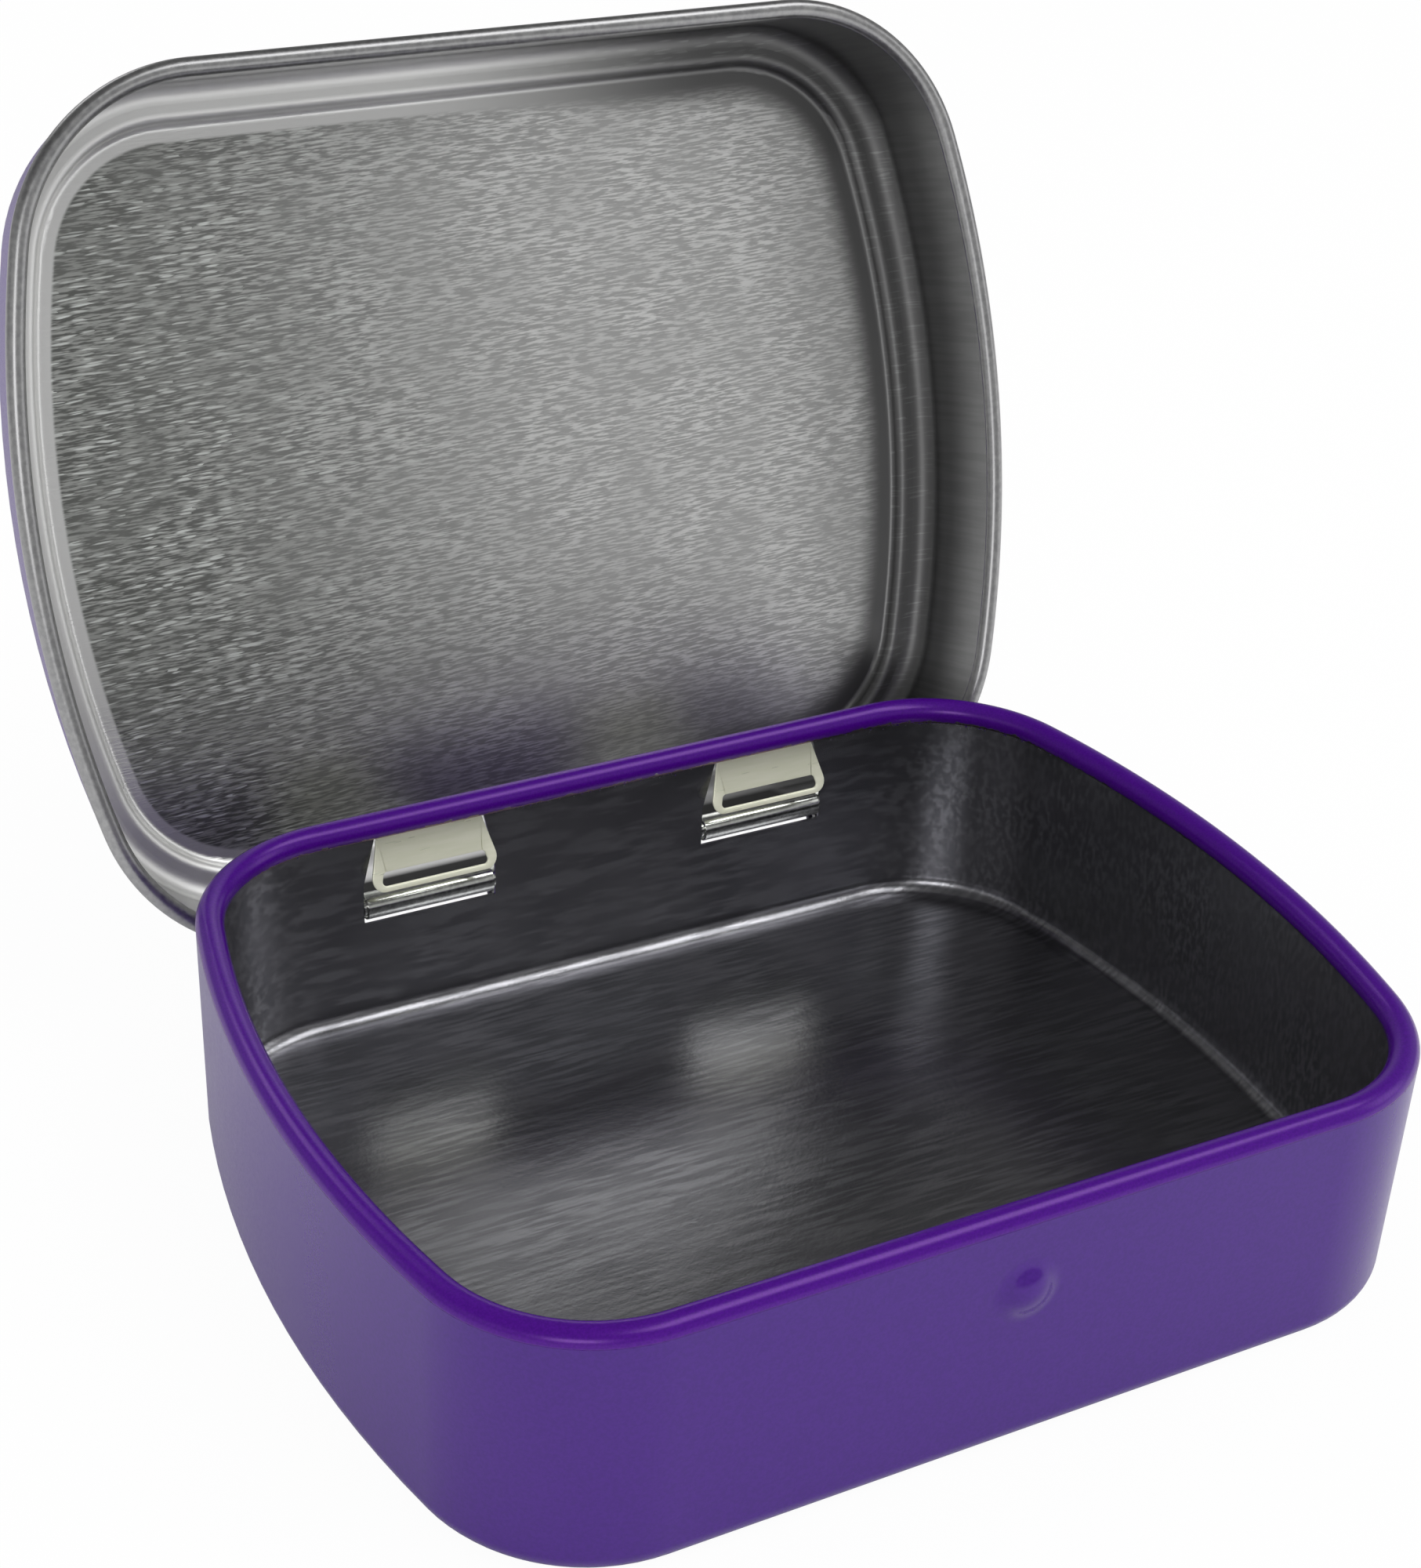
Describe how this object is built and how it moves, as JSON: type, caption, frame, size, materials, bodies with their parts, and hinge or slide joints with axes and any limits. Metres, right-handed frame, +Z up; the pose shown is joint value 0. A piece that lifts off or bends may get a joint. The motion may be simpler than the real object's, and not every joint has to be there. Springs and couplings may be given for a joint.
{
  "type": "hinged metal tin",
  "caption": "Shallow hinged tinplate tin with bowed ends, rolled rims, a deep overlapping lid on curled hinge tabs and a pressed pip catch.",
  "frame": {"origin": "middle of the underside of the base", "axes": "+X to the right along the length, +Y to the back where the hinges are, +Z up; the lid stands open at rest"},
  "size_m": [0.1014, 0.1111, 0.0874],
  "materials": {
    "violet_lacquer": "satin violet lacquer on tinplate outside, bare metal inside",
    "rim_lacquer": "glossy deep violet lacquer on the rolled rim",
    "bare_tinplate": "bare tinplate with a short streaky mill grain inside, lacquered outside",
    "bare_edge": "bare bright tinplate on the rolled edge",
    "bare_bent": "bare bright tinplate, polished by bending"
  },
  "bodies": {
    "base": {"base_body": "violet_lacquer", "base_rim": "rim_lacquer", "hinge_bar_left": "bare_bent", "hinge_bar_right": "bare_bent", "hinge_hood_left": "bare_bent", "hinge_hood_right": "bare_bent"},
    "lid": {"lid_body": "bare_tinplate", "lid_rim": "bare_edge", "hinge_tab_left": "bare_bent", "hinge_tab_right": "bare_bent"}
  },
  "joints": [
    {"name": "lid_hinge", "type": "hinge", "parent": "base", "child": "lid", "pos_m": [0, 0.03792, 0.0125], "axis": [1, 0, 0], "range_deg": [0, 107]}
  ]
}
